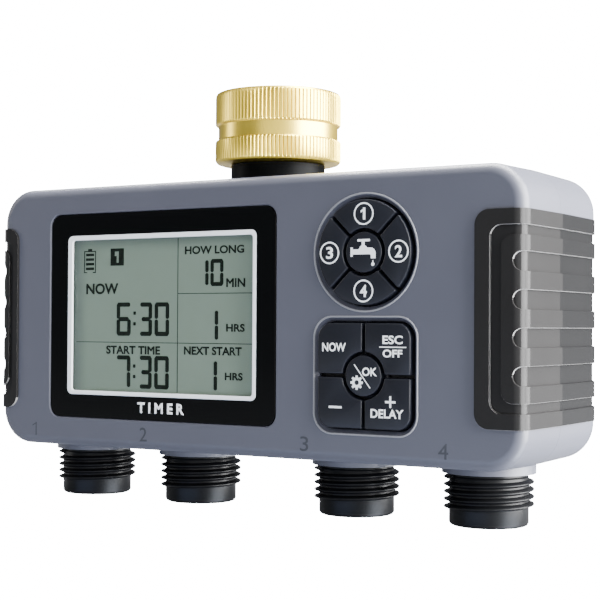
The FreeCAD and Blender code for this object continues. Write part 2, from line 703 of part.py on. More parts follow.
def make_outlets():
    """Four threaded outlets and the seals on top of them."""
    for index, x in OUTLETS.items():
        piece(turned(outlet_corners(), x, name="outlet"), "outlet_%d" % index)
    rings = [turned(ring_corners("seat_radius", "seal_radius", "outlet_top", "cup_low"), x)
             for x in OUTLETS.values()]
    piece(fuse(*rings), "outlet_seals")


def make_manifold():
    """The moulded water way: inlet riser, cross tube and a valve cup over each outlet."""
    spots = list(OUTLETS.values())
    outside = [across("tube_radius", "-outlet_far", "outlet_far"),
               upright("0", "riser_radius", "tube_height - tube_radius - 1", "riser_top")]
    outside += [upright(x, "cup_radius", "cup_low", "cup_high") for x in spots]
    inside = [across("tube_bore", "-outlet_far", "outlet_far"),
              upright("0", "riser_bore", "tube_height", "riser_top + 1")]
    inside += [upright(x, "cup_bore", "cup_floor", "cup_high + 1") for x in spots]
    seats = [upright(x, "seat_radius", "cup_low", "cup_high") for x in spots]
    bores = [upright(x, "outlet_bore", "cup_low - 1", "cup_high + 1") for x in spots]
    shell = cut(fuse(*outside), *inside)
    piece(cut(fuse(shell, *seats), *bores), "manifold")


def make_valves():
    """Over each cup a diaphragm, a cap with its core tube, a coil, a plunger and a spring."""
    spots = list(OUTLETS.values())
    skins = [upright(x, "diaphragm_radius", "cup_high", "diaphragm_high") for x in spots]
    piece(fuse(*skins), "diaphragms")
    cap = [("pilot_hole", "diaphragm_high"), ("cup_radius", "diaphragm_high"),
           ("cup_radius", "cap_high"), ("core_radius", "cap_high"), ("core_radius", "core_top"),
           ("0", "core_top"), ("0", "core_roof"), ("core_bore", "core_roof"),
           ("core_bore", "cap_floor"), ("pilot_hole", "cap_floor")]
    piece(fuse(*[turned(cap, x) for x in spots]), "valve_caps")
    winding = [("coil_bore", "coil_low"), ("coil_radius", "coil_low"),
               ("coil_radius", "coil_low + coil_flange"),
               ("winding_radius", "coil_low + coil_flange"),
               ("winding_radius", "coil_high - coil_flange"),
               ("coil_radius", "coil_high - coil_flange"), ("coil_radius", "coil_high"),
               ("coil_bore", "coil_high")]
    for index, x in OUTLETS.items():
        piece(turned(winding, x), "coil_%d" % index)
        piece(upright(x, "plunger_radius", "plunger_low", "plunger_high"), "plunger_%d" % index)
        piece(make_spring(x), "plunger_spring_%d" % index)


def make_spring(x):
    """A plunger's return spring: a wire swept along a helix."""
    helix = document.addObject("Part::Helix", scrap_name("helix"))
    helix.LocalCoord = 0
    length = "(core_roof - plunger_high - 2 * spring_wire - 0.1)"
    bind(helix, "Height", length)
    bind(helix, "Pitch", length + " / spring_turns")
    bind(helix, "Radius", "spring_radius")
    wire = document.addObject("Part::Circle", scrap_name("wire"))
    wire.Placement = Placement(Vector(), Rotation(Vector(1, 0, 0), 90))
    bind(wire, "Radius", "spring_wire")
    bind(wire, "Placement.Base.x", "spring_radius")
    sweep = document.addObject("Part::Sweep", scrap_name("spring"))
    sweep.Sections = [wire]
    sweep.Spine = (helix, [])
    sweep.Solid = True
    sweep.Frenet = True
    return put(sweep, x, "axis_depth", "plunger_high + spring_wire + 0.05")


def make_inlet():
    """Brass swivel nut, the neck that it turns on, washer, filter screen and neck seal."""
    nut = [("swivel_bore", "nut_low"), ("nut_radius - nut_chamfer", "nut_low"),
           ("nut_radius", "nut_low + nut_chamfer"), ("nut_radius", "groove_low"),
           ("groove_radius", "groove_low"), ("groove_radius", "groove_high"),
           ("nut_radius", "groove_high"), ("nut_radius", "nut_high - nut_chamfer"),
           ("nut_radius - nut_chamfer", "nut_high"), ("nut_root", "nut_high")]
    for turn in (4, 3, 2, 1, 0):
        base = "nut_first + %d * thread_pitch" % turn
        nut += [("nut_root", base + " + crest_land + thread_slope"),
                ("nut_crest", base + " + crest_land"), ("nut_crest", base),
                ("nut_root", base + " - thread_slope")]
    nut += [("nut_root", "nut_lip"), ("swivel_bore", "nut_lip")]
    piece(turned(nut, name="nut"), "inlet_nut")
    neck = [("inlet_bore", "spigot_low"), ("spigot_radius", "spigot_low"),
            ("spigot_radius", "seal_high"), ("inlet_flange", "seal_high"),
            ("inlet_flange", "flange_top"), ("inlet_neck", "flange_top"),
            ("inlet_neck", "neck_top"), ("swivel_radius", "neck_top"),
            ("swivel_radius", "stop_low"), ("stop_radius", "stop_low"),
            ("stop_radius", "stop_high"), ("inlet_bore", "stop_high")]
    piece(turned(neck, name="neck"), "inlet_neck")
    washer = ring_corners("washer_bore", "stop_radius", "stop_high", "washer_high")
    piece(turned(washer), "inlet_washer")
    rim = "washer_bore - 0.1"
    cone = [("0", "stop_high - filter_depth"), ("inlet_bore - filter_wall", "stop_high"),
            (rim, "stop_high"), (rim, "stop_high + filter_wall"),
            ("inlet_bore - 2 * filter_wall", "stop_high + filter_wall"),
            ("0", "stop_high - filter_depth + 1.4 * filter_wall")]
    piece(turned(cone, name="filter"), "inlet_filter")
    seal = ring_corners("spigot_radius", "riser_radius + 1", "riser_top", "seal_high")
    piece(turned(seal), "neck_seal")


# ---- battery compartment ------------------------------------------------------------------

def make_batteries():
    """Tray, four cells and their contacts."""
    hollow = box("-tray_half + tray_wall", "tray_half - tray_wall",
                 "tray_front + 0.6 * tray_wall", "beyond",
                 "tray_low + tray_wall", "tray_high - tray_wall")
    tray = box("-tray_half", "tray_half", "tray_front", "tray_back", "tray_low", "tray_high")
    piece(cut(tray, hollow), "battery_tray")
    cells = []
    contacts = []
    for slot in range(4):
        x = "(%s) * battery_pitch" % (slot - 1.5)
        top = "battery_low + battery_length"
        cells.append(upright(x, "battery_radius", "battery_low", top, "battery_depth"))
        for low in ("battery_low - contact", top):
            contacts.append(box(x + " - contact_half", x + " + contact_half",
                                "battery_depth - contact_reach", "battery_depth + contact_reach",
                                low, low + " + contact"))
    piece(fuse(*cells), "batteries")
    piece(fuse(*contacts), "battery_contacts")


def make_cover():
    """The battery cover, with a thumb notch and grip lines outside, and its seal."""
    body = plate([COVER], "cover_seat", "cover_face", "cover")
    dress(body, "Fillet", "cover_face", "cover_edge")
    skirt = plate([battery_opening("skirt_outer", "1"), battery_opening("skirt_inner", "1")],
                  "skirt_depth", "cover_seat", "skirt")
    ring = [shrunk(COVER, "cord_outer")[:5] + ("2.4",), shrunk(COVER, "cord_inner")[:5] + ("1",)]
    tools = [plate(ring, "cover_seat", "cover_seat + cover_groove", "groove"),
             level("0", "cover_high", "notch_radius", "cover_face - notch_depth", "beyond")]
    for index in range(4):
        low = "ridge_first + %d * ridge_pitch" % index
        line = ("rectangle", "-ridge_half", "ridge_half", low, low + " + ridge_height",
                "ridge_height / 2.02")
        tools.append(plate([line], "cover_face - ridge_depth", "beyond", "line"))
    piece(cut(fuse(body, skirt), *tools), "battery_cover")
    piece(plate(ring, "cover_seat", "cover_seat + cover_groove", "seal"), "cover_seal")


# ---- the whole ----------------------------------------------------------------------------

def check_document():
    """Stop if any object failed or any sub-part is empty or broken."""
    document.recompute()
    for thing in document.Objects:
        if "Invalid" in thing.State or "Error" in thing.State:
            raise RuntimeError("%s (%s) failed: %s" % (thing.Name, thing.Label, thing.State))
    for thing in PIECES:
        if thing.Shape.isNull() or not thing.Shape.isValid():
            raise RuntimeError(thing.Label + " has no valid shape")


def write_parts():
    """Write each sub-part's shape to its own STEP file."""
    os.makedirs("parts", exist_ok=True)
    for thing in PIECES:
        thing.Shape.exportStep(os.path.join("parts", thing.Label + ".step"))
    print(len(PIECES), "sub-parts written")


make_housing()
make_display()
make_board()
make_keypads()
make_outlets()
make_manifold()
make_valves()
make_inlet()
make_batteries()
make_cover()
check_document()
write_parts()
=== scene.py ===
import json
import math

import bpy
from mathutils import Matrix, Vector

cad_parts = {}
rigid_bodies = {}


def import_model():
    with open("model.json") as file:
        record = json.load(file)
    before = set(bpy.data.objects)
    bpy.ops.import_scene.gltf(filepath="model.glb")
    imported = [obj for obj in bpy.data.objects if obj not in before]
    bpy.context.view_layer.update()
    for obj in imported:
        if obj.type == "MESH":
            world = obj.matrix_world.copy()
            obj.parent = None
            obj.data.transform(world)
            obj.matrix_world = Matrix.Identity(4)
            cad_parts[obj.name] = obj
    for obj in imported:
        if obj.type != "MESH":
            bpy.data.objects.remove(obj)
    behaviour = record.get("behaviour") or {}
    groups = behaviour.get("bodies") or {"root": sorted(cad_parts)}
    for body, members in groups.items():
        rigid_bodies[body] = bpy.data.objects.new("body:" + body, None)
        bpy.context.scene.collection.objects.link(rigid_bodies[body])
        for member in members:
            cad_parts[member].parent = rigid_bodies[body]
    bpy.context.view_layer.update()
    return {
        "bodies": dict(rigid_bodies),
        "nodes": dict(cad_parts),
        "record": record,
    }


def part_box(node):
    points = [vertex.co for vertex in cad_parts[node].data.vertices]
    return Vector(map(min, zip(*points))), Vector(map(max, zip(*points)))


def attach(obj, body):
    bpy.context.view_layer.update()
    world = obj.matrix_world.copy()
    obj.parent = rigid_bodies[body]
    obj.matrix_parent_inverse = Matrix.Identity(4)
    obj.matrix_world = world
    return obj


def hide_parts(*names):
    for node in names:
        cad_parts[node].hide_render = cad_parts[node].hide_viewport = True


# Looks of a four-outlet drip irrigation timer. Its parts come from the frame, and most that show
# get a copy with rounded edges. Numbers are millimetres unless a comment says metres; MM turns
# them into metres. +X is right, +Y goes from the display to the back, +Z is up.

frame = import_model()
MM = 0.001

FRONT = -27.0        # the housing's face
BEZEL_FACE = -26.8
LCD_DEPTH = -25.3
KEY_FACE = -28.0
AXIS = -1.5          # the depth of the nut, the outlets and the parting line
PAD_X = 47.5         # the middle of both keypads
ROUND_Z = 81.1       # the round keypad's middle
SQUARE_Z = 44.5      # the square keypad's middle
WELD = 0.002         # corners nearer than this become one
THREAD_PITCH = 2.209
OUTLETS = {"outlet_1": -76.0, "outlet_2": -30.45, "outlet_3": 30.45, "outlet_4": 76.0}


# ---- shader maths -------------------------------------------------------------------------

class Socket:
    """An output of a shader node that arithmetic can be written with."""

    def __init__(self, finish, link):
        self.finish = finish
        self.link = link

    def maths(self, operation, first, second):
        return self.finish.node("ShaderNodeMath", {"operation": operation}, {0: first, 1: second})

    def __add__(self, other):
        return self.maths("ADD", self, other)

    def __radd__(self, other):
        return self.maths("ADD", other, self)

    def __rsub__(self, other):
        return self.maths("SUBTRACT", other, self)

    def __mul__(self, other):
        return self.maths("MULTIPLY", self, other)

    def band(self, low, high):
        """0 below low, 1 above high, smooth between."""
        return self.finish.node("ShaderNodeMapRange", {"interpolation_type": "SMOOTHSTEP"},
                                {"Value": self, "From Min": low, "From Max": high})


class Finish:
    """A material under construction on one Principled shader."""

    def __init__(self, name, colour, roughness, metallic=0.0, **constants):
        self.material = bpy.data.materials.new(name)
        self.material.use_nodes = True
        self.tree = self.material.node_tree
        self.shader = self.tree.nodes["Principled BSDF"]
        self.set("Base Color", (*colour, 1.0))
        self.set("Roughness", roughness)
        self.set("Metallic", metallic)
        for key, value in constants.items():
            self.set(key.replace("_", " ").title().replace("Ior", "IOR"), value)

    def set(self, socket, value):
        """Set a shader socket to a value, or feed it from another node."""
        if isinstance(value, Socket):
            self.tree.links.new(value.link, self.shader.inputs[socket])
        else:
            self.shader.inputs[socket].default_value = value

    def node(self, kind, settings, inputs, output=0):
        """Add a node, set it up, feed its inputs and hand back one of its outputs."""
        made = self.tree.nodes.new(kind)
        for key, value in settings.items():
            setattr(made, key, value)
        for key, value in inputs.items():
            if isinstance(value, Socket):
                self.tree.links.new(value.link, made.inputs[key])
            else:
                made.inputs[key].default_value = value
        return Socket(self, made.outputs[output])

    def place(self, scale=(1, 1, 1)):
        """The place on the piece, stretched by scale."""
        here = self.node("ShaderNodeTexCoord", {}, {}, "Object")
        return self.node("ShaderNodeMapping", {}, {"Vector": here, "Scale": scale})

    def along(self, axis):
        """The place along one axis, in metres."""
        here = self.node("ShaderNodeTexCoord", {}, {}, "Object")
        return self.node("ShaderNodeSeparateXYZ", {}, {"Vector": here}, axis)

    def noise(self, scale, detail, stretch=(1, 1, 1)):
        """Cloudy noise; scale is in blobs per metre."""
        return self.node("ShaderNodeTexNoise", {}, {"Vector": self.place(stretch), "Scale": scale,
                                                    "Detail": detail, "Roughness": 0.55})

    def cells(self, scale, stretch):
        """Distance to the nearest of many scattered points."""
        return self.node("ShaderNodeTexVoronoi", {}, {"Vector": self.place(stretch),
                                                      "Scale": scale})

    def mix(self, factor, first, second):
        """A colour between two colours."""
        return self.node("ShaderNodeMix", {"data_type": "RGBA"},
                         {0: factor, 6: (*first, 1.0) if isinstance(first, tuple) else first,
                          7: (*second, 1.0) if isinstance(second, tuple) else second}, 2)

    def raise_by(self, height, depth):
        """Bump from a height of 0 to 1, depth metres deep."""
        inputs = {"Height": height, "Distance": depth, "Strength": 1.0}
        self.set("Normal", self.node("ShaderNodeBump", {}, inputs))


def shade(colour, factor):
    """A colour made lighter or darker."""
    return tuple(min(1.0, channel * factor) for channel in colour)


def moulded(name, colour, roughness, grain, scale, **constants):
    """Moulded plastic: grain so many metres deep, faint flow mottling, uneven gloss."""
    finish = Finish(name, colour, roughness, **constants)
    mottle = finish.noise(38.0, 2.0)
    finish.set("Base Color", finish.mix(mottle, shade(colour, 0.94), shade(colour, 1.06)))
    finish.set("Roughness", roughness - 0.05 + mottle * 0.1)
    grit = finish.noise(scale, 4.0) + finish.noise(scale * 0.37, 2.0) * 0.5
    finish.raise_by(grit, grain)
    return finish.material


# ---- modelling ----------------------------------------------------------------------------

def clear_selection():
    """Leave edit mode with nothing selected."""
    active = bpy.context.view_layer.objects.active
    if active is not None and active.mode != "OBJECT":
        bpy.ops.object.mode_set(mode="OBJECT")
    bpy.ops.object.select_all(action="DESELECT")


def take(piece):
    """Make one piece the selected and active one."""
    clear_selection()
    piece.select_set(True)
    bpy.context.view_layer.objects.active = piece


def rename(piece, name):
    """Name a piece and its mesh."""
    piece.name = piece.data.name = name
    return piece


def settle(piece, name):
    """Put a piece's place and turn into its mesh and name it."""
    take(piece)
    bpy.ops.object.transform_apply(location=True, rotation=True, scale=True)
    return rename(piece, name)


def choose(piece, kind, wanted):
    """Select in edit mode the vertices or edges that wanted accepts."""
    take(piece)
    bpy.ops.object.mode_set(mode="EDIT")
    bpy.ops.mesh.select_mode(type=kind)
    bpy.ops.mesh.select_all(action="DESELECT")
    bpy.ops.object.mode_set(mode="OBJECT")
    mesh = piece.data
    if kind == "VERT":
        for vertex in mesh.vertices:
            vertex.select = wanted(vertex.co)
    else:
        for edge in mesh.edges:
            first, second = (mesh.vertices[index].co for index in edge.vertices)
            edge.select = wanted(first, second)
    bpy.ops.object.mode_set(mode="EDIT")


def choose_all(piece):
    """Select in edit mode the whole of a piece."""
    take(piece)
    bpy.ops.object.mode_set(mode="EDIT")
    bpy.ops.mesh.select_all(action="SELECT")


def apply_modifier(piece, kind, **settings):
    """Add a modifier, set it and apply it."""
    take(piece)
    modifier = piece.modifiers.new(kind.lower(), kind)
    for key, value in settings.items():
        setattr(modifier, key, value)
    bpy.ops.object.modifier_apply(modifier=modifier.name)


def smooth(piece, angle):
    """Smooth shading with creases where faces meet at more than angle degrees."""
    take(piece)
    bpy.ops.object.shade_smooth_by_angle(angle=math.radians(angle))
    return piece


def joined(pieces, name):
    """Several pieces as one."""
    clear_selection()
    for piece in pieces:
        piece.select_set(True)
    bpy.context.view_layer.objects.active = pieces[0]
    if len(pieces) > 1:
        bpy.ops.object.join()
    return settle(pieces[0], name)


def dress(piece, material, body, slot, *nodes):
    """Give a piece its finish and its body, and hide the CAD nodes that it stands for; slot is not
    used.
    """
    piece.data.materials.clear()
    piece.data.materials.append(material)
    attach(piece, body)
    if nodes:
        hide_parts(*nodes)
    return piece


def softened(node, name, width, segments, crease):
    """A copy of a CAD piece with the edges sharper than crease degrees rounded off."""
    piece = bpy.data.objects.new(node + "_soft", frame["nodes"][node].data.copy())
    bpy.context.scene.collection.objects.link(piece)
    choose_all(piece)
    bpy.ops.mesh.remove_doubles(threshold=WELD * MM)
    bpy.ops.mesh.dissolve_limited(angle_limit=math.radians(0.5))
    bpy.ops.object.mode_set(mode="OBJECT")
    bpy.ops.mesh.customdata_custom_splitnormals_clear()
    apply_modifier(piece, "BEVEL", width=width * MM, segments=segments, limit_method="ANGLE",
                   angle_limit=math.radians(crease), harden_normals=False)
    return rename(smooth(piece, 40.0), name)


def evened(piece):
    """Make a piece's large flat faces shade flat right up to their rounded edges."""
    apply_modifier(piece, "WEIGHTED_NORMAL", weight=100, keep_sharp=True)
    return piece


def lathe(name, corners, steps, x=0.0):
    """A closed ring turned about the vertical line at x from (radius, height) corners in mm."""
    radius, height = corners[0]
    clear_selection()
    bpy.ops.mesh.primitive_circle_add(vertices=steps, radius=radius * MM,
                                      location=(x * MM, AXIS * MM, height * MM))
    piece = bpy.context.object
    bpy.ops.object.mode_set(mode="EDIT")
    bpy.ops.mesh.select_all(action="SELECT")
    for next_radius, next_height in corners[1:] + corners[:1]:
        rise = (next_height - height) * MM
        bpy.ops.mesh.extrude_region_move(TRANSFORM_OT_translate={"value": (0, 0, rise)})
        factor = next_radius / radius
        bpy.ops.transform.resize(value=(factor, factor, 1),
                                 center_override=(x * MM, AXIS * MM, next_height * MM))
        radius, height = next_radius, next_height
    bpy.ops.mesh.select_all(action="SELECT")
    bpy.ops.mesh.remove_doubles(threshold=WELD * MM)
    bpy.ops.mesh.normals_make_consistent(inside=False)
    bpy.ops.object.mode_set(mode="OBJECT")
    return settle(piece, name)


def slab(left, right, low, high, depth, thick, corner=0.0):
    """An upright plate, thick from its back at depth to its face, with clipped corners."""
    clear_selection()
    middle = ((left + right) / 2 * MM, (depth - thick / 2) * MM, (low + high) / 2 * MM)
    bpy.ops.mesh.primitive_cube_add(size=1, location=middle)
    piece = bpy.context.object
    piece.scale = ((right - left) * MM, thick * MM, (high - low) * MM)
    settle(piece, "slab")
    if corner:
        choose(piece, "EDGE", lambda a, b: abs(a.y - b.y) > 0.5 * thick * MM)
        bpy.ops.mesh.bevel(offset=corner * MM, segments=3)
        bpy.ops.object.mode_set(mode="OBJECT")
    return piece


def ring_mark(x, z, outer, inner, depth, thick, sides=48):
    """A thin upright ring, or a disc where inner is 0, facing the front."""
    clear_selection()
    bpy.ops.mesh.primitive_circle_add(vertices=sides, radius=outer * MM, fill_type="NGON",
                                      location=(x * MM, depth * MM, z * MM),
                                      rotation=(math.pi / 2, 0, 0))
    piece = bpy.context.object
    bpy.ops.object.mode_set(mode="EDIT")
    bpy.ops.mesh.select_all(action="SELECT")
    if inner:
        bpy.ops.mesh.inset(thickness=(outer - inner) * MM)
        bpy.ops.mesh.delete(type="FACE")
    bpy.ops.object.mode_set(mode="OBJECT")
    settle(piece, "ring")
    apply_modifier(piece, "SOLIDIFY", thickness=thick * MM, offset=1.0)
    return piece


def lettering(text, left, right, low, high, depth, thick, bold):
    """Characters fitted to a box on the front; bold widens every stroke."""
    clear_selection()
    bpy.ops.object.text_add()
    characters = bpy.context.object
    characters.data.body = text
    characters.data.bevel_depth = bold
    characters.data.bevel_resolution = 0
    characters.data.resolution_u = 4
    bpy.ops.object.convert(target="MESH")
    piece = bpy.context.object
    across = [vertex.co.x for vertex in piece.data.vertices]
    upward = [vertex.co.y for vertex in piece.data.vertices]
    wide = (right - left) * MM / (max(across) - min(across))
    tall = (high - low) * MM / (max(upward) - min(upward))
    piece.scale = (wide, tall, thick * MM / (2 * bold))
    piece.rotation_euler = (math.pi / 2, 0, 0)
    piece.location = (left * MM - min(across) * wide, (depth - thick / 2) * MM,
                      low * MM - min(upward) * tall)
    settle(piece, "words")
    choose_all(piece)
    bpy.ops.mesh.remove_doubles(threshold=WELD / 2 * MM)
    bpy.ops.mesh.normals_make_consistent(inside=False)
    bpy.ops.object.mode_set(mode="OBJECT")
    return piece


def figure_one(left, right, low, high, depth, thick, stroke):
    """A figure 1: an upright with a short slanting flag."""
    flag = stroke * 0.85
    upright = slab(right - stroke, right, low, high, depth, thick)
    slant = slab(left - 0.2 * stroke, right - 0.5 * stroke, high - 1.35 * flag,
                 high - 0.35 * flag, depth, thick * 0.9)
    lean = 0.45 * (right - left)
    for vertex in slant.data.vertices:
        if vertex.co.x < (left + right) / 2 * MM:
            vertex.co.z -= lean * MM
    return joined([upright, slant], "figure")


def layered(marks):
    """Set marks that cross each other a hair apart, so that no two faces coincide."""
    layers, hair = 6, 0.003
    for index, mark in enumerate(marks):
        for vertex in mark.data.vertices:
            vertex.co.y -= (index % layers) * hair * MM
    return marks


# ---- camera and stage ---------------------------------------------------------------------

def make_camera():
    """An almost level camera to the front and right, near enough to show perspective."""
    place = (0.25525, -0.39432, 0.05934)  # metres
    yaw, pitch, roll = (math.radians(degrees) for degrees in (32.10, -1.02, 0.31))
    forward = Vector((-math.sin(yaw) * math.cos(pitch), math.cos(yaw) * math.cos(pitch),
                      -math.sin(pitch)))
    level_right = forward.cross(Vector((0, 0, 1))).normalized()
    level_up = level_right.cross(forward)
    right = level_right * math.cos(roll) + level_up * math.sin(roll)
    up = level_up * math.cos(roll) - level_right * math.sin(roll)
    data = bpy.data.cameras.new("camera")
    data.lens = 85.48
    data.sensor_width = 36.0
    data.clip_start = 0.01
    camera = bpy.data.objects.new("camera", data)
    bpy.context.scene.collection.objects.link(camera)
    turn = Matrix((right, up, -forward)).transposed().to_4x4()
    camera.matrix_world = Matrix.Translation(place) @ turn
    bpy.context.scene.camera = camera


def make_light(name, place, aim, size, power, colour=(1.0, 1.0, 1.0)):
    """A soft rectangular light aimed at a point; places and size in metres, power in watts."""
    data = bpy.data.lights.new(name, "AREA")
    data.shape = "RECTANGLE"
    data.size, data.size_y = size
    data.energy = power
    data.color = colour
    light = bpy.data.objects.new(name, data)
    bpy.context.scene.collection.objects.link(light)
    light.visible_camera = False
    light.location = place
    light.rotation_euler = (Vector(aim) - Vector(place)).to_track_quat("-Z", "Y").to_euler()


def make_floor():
    """A pale floor, thin enough that the white surround shows through it."""
    clear_selection()
    bpy.ops.mesh.primitive_plane_add(size=12.0, location=(0, 0, -0.0003))
    floor = bpy.context.object
    floor.name = "floor"
    finish = Finish("pale_floor", (0.88, 0.89, 0.92), 0.6)
    finish.set("Alpha", 0.12)
    floor.data.materials.append(finish.material)


def make_surround():
    """A world that is white behind the timer and dim as a light on it."""
    as_light, as_background = 0.30, 22.0
    world = bpy.data.worlds.new("surround")
    bpy.context.scene.world = world
    world.use_nodes = True
    nodes, links = world.node_tree.nodes, world.node_tree.links
    background = nodes["Background"]
    background.inputs["Color"].default_value = (0.95, 0.97, 1.0, 1.0)
    path = nodes.new("ShaderNodeLightPath")
    blend = nodes.new("ShaderNodeMix")
    blend.inputs["A"].default_value = as_light
    blend.inputs["B"].default_value = as_background
    links.new(path.outputs["Is Camera Ray"], blend.inputs["Factor"])
    links.new(blend.outputs["Result"], background.inputs["Strength"])


def make_stage():
    """Floor, white surround and soft lights: strong from the right and above, dim in front."""
    make_floor()
    make_surround()
    make_light("right_key", (1.1, 0.26, 0.30), (0.1, 0, 0.06), (1.3, 1.3), 215.0)
    make_light("top_key", (0.10, 0.22, 1.0), (0.05, 0, 0.1), (1.6, 0.5), 110.0)
    make_light("front_strip", (0.75, -1.25, 0.12), (0, 0, 0.1), (2.0, 0.35), 6.5)
    make_light("edge_light", (0.9, -0.55, 0.75), (0.04, 0, 0.08), (0.3, 0.3), 4.0)
    make_light("front_fill", (-0.45, -1.0, 0.9), (0, 0, 0.06), (0.9, 0.5), 3.4)
    make_light("low_fill", (-0.1, -0.7, -0.35), (0, 0, 0.03), (0.9, 0.3), 3.0,
               (0.45, 0.60, 1.0))
    make_light("low_right", (0.7, 0.1, -0.55), (0.1, 0, 0.05), (0.6, 0.6), 22.0,
               (0.80, 0.88, 1.0))
    make_light("left_kick", (-0.9, -0.30, 0.35), (-0.02, 0, 0.07), (0.2, 0.5), 2.2,
               (1.0, 0.98, 0.94))


make_camera()
make_stage()


# ---- finishes -----------------------------------------------------------------------------

def rubber_finish():
    """Soft-touch grip rubber: fine dull grain, with painted shade behind the parting line."""
    finish = Finish("grip_rubber", (0.015, 0.0145, 0.015), 0.30, specular_ior_level=0.12)
    dust = finish.noise(40.0, 2.0)
    ahead = finish.mix(dust, (0.0125, 0.0121, 0.012), (0.015, 0.0146, 0.0144))
    # The rear half's darker colour is painted shade, not a different rubber.
    shaded_behind = finish.mix(dust, (0.0042, 0.0042, 0.0044), (0.0054, 0.0054, 0.0057))
    rear_half = finish.along("Y").band((AXIS - 0.2) * MM, (AXIS + 0.2) * MM)
    finish.set("Base Color", finish.mix(rear_half, ahead, shaded_behind))
    finish.set("Roughness", 0.28 + dust * 0.05 + rear_half * 0.06)
    finish.raise_by(finish.noise(3200.0, 3.0), 0.00002)
    return finish.material


def brass_finish():
    """Satin brass with fine marks round it from turning and slight tarnish."""
    roughness = 0.30
    finish = Finish("brass", (0.93, 0.69, 0.09), roughness, 1.0)
    tarnish = finish.noise(90.0, 3.0)
    finish.set("Base Color", finish.mix(tarnish, (0.91, 0.66, 0.075), (0.95, 0.72, 0.105)))
    marks = finish.noise(1.0, 2.0, (300, 300, 9000))
    finish.set("Roughness", roughness - 0.06 + tarnish * 0.12)
    finish.raise_by(marks, 0.000008)
    return finish.material


def print_finish(name, colour, **constants):
    """Pad-printed or liquid-crystal ink, a little uneven."""
    finish = Finish(name, colour, 0.5, **constants)
    patch = finish.noise(600.0, 2.0)
    finish.set("Base Color", finish.mix(patch, shade(colour, 0.92), shade(colour, 1.08)))
    return finish.material


def lcd_finish():
    """Grey-green display, darker in the frame's shade along its left and upper edges."""
    light, dark = (0.172, 0.224, 0.176), (0.105, 0.135, 0.115)
    finish = Finish("lcd_glass", light, 0.35, specular_ior_level=0.2)
    grain = finish.noise(1500.0, 2.0)
    clear_of_left = finish.along("X").band(-66.5 * MM, -60.0 * MM)
    clear_of_top = 1 - finish.along("Z").band(83.0 * MM, 87.8 * MM)
    finish.set("Base Color", finish.mix(clear_of_left * (0.35 + clear_of_top * 0.65), dark, light))
    finish.set("Roughness", 0.3 + grain * 0.08)
    return finish.material


def glass_finish():
    """Clear lens over the display: mostly see-through, with a little shine."""
    finish = Finish("lens_clear", (0.01, 0.012, 0.01), 0.06, ior=1.2)
    finish.set("Alpha", 0.05)
    return finish.material


def winding_finish():
    """Copper wire wound in close turns, with painted shade in the hollows between them."""
    finish = Finish("copper_winding", (0.55, 0.2, 0.08), 0.35, 1.0)
    turns = finish.node("ShaderNodeTexWave", {"bands_direction": "Z"},
                        {"Vector": finish.place(), "Scale": 330.0, "Distortion": 0.3})
    finish.raise_by(turns, 0.0002)
    # The colour follows the bump, darker where the turns dip: painted shade.
    finish.set("Base Color", finish.mix(turns, (0.28, 0.09, 0.04), (0.62, 0.25, 0.1)))
    return finish.material


def board_finish():
    """Green solder mask with tracks showing through."""
    finish = Finish("board_green", (0.015, 0.12, 0.05), 0.35)
    tracks = finish.cells(420.0, (1, 0.05, 1)).band(0.1, 0.35)
    finish.set("Base Color", finish.mix(tracks, (0.03, 0.2, 0.08), (0.012, 0.1, 0.045)))
    finish.raise_by(tracks, 0.00004)
    return finish.material


def steel_finish():
    """Zinc-plated steel."""
    finish = Finish("steel", (0.55, 0.55, 0.56), 0.3, 1.0)
    streaks = finish.noise(1.0, 2.0, (4000, 4000, 200))
    finish.set("Roughness", 0.22 + streaks * 0.16)
    finish.raise_by(streaks, 0.000005)
    return finish.material


FINISHES = {
    "housing_grey": moulded("housing_grey", (0.064, 0.067, 0.087), 0.42, 0.000012, 3000.0),
    "grip_rubber": rubber_finish(),
    # Light grey for the grips' rounded edges: a painted highlight on the dark rubber.
    "grip_edge": moulded("grip_edge", (0.26, 0.255, 0.25), 0.35, 0.000004, 3000.0),
    # Much lighter than the housing grey that the rims belong to: a painted highlight.
    "well_rim_highlight": moulded("well_rim_highlight", (0.19, 0.195, 0.215), 0.30, 0.000004, 3000.0),
    "bezel_black": moulded("bezel_black", (0.0015, 0.0018, 0.002), 0.16, 0.000002, 900.0,
                           specular_ior_level=0.10),
    "surround_white": moulded("surround_white", (0.90, 0.93, 0.95), 0.35, 0.000004, 3000.0),
    "lens_clear": glass_finish(),
    "lcd_glass": lcd_finish(),
    "key_black": moulded("key_black", (0.006, 0.007, 0.011), 0.34, 0.000008, 4000.0,
                         specular_ior_level=0.28),
    "black_plastic": moulded("black_plastic", (0.0028, 0.003, 0.0035), 0.38, 0.000012, 2400.0,
                             specular_ior_level=0.16),
    "neck_black": moulded("neck_black", (0.0012, 0.0014, 0.0016), 0.45, 0.000006, 2400.0,
                          specular_ior_level=0.04),
    "brass": brass_finish(),
    "seal_rubber": moulded("seal_rubber", (0.02, 0.02, 0.022), 0.7, 0.00002, 2000.0),
    "inner_plastic": moulded("inner_plastic", (0.5, 0.51, 0.5), 0.45, 0.00001, 2500.0),
    "board_green": board_finish(),
    "board_part_black": moulded("board_part_black", (0.02, 0.02, 0.02), 0.5, 0.00001, 5000.0),
    "copper_winding": winding_finish(),
    "steel": steel_finish(),
    "battery_skin": moulded("battery_skin", (0.02, 0.03, 0.05), 0.25, 0.000004, 900.0),
}
WHITE_INK = print_finish("white_ink", (0.90, 0.92, 0.93))
LCD_INK = print_finish("lcd_ink", (0.005, 0.009, 0.006), specular_ior_level=0.08)
NUMERAL_INK = print_finish("numeral_ink", (0.022, 0.025, 0.034))


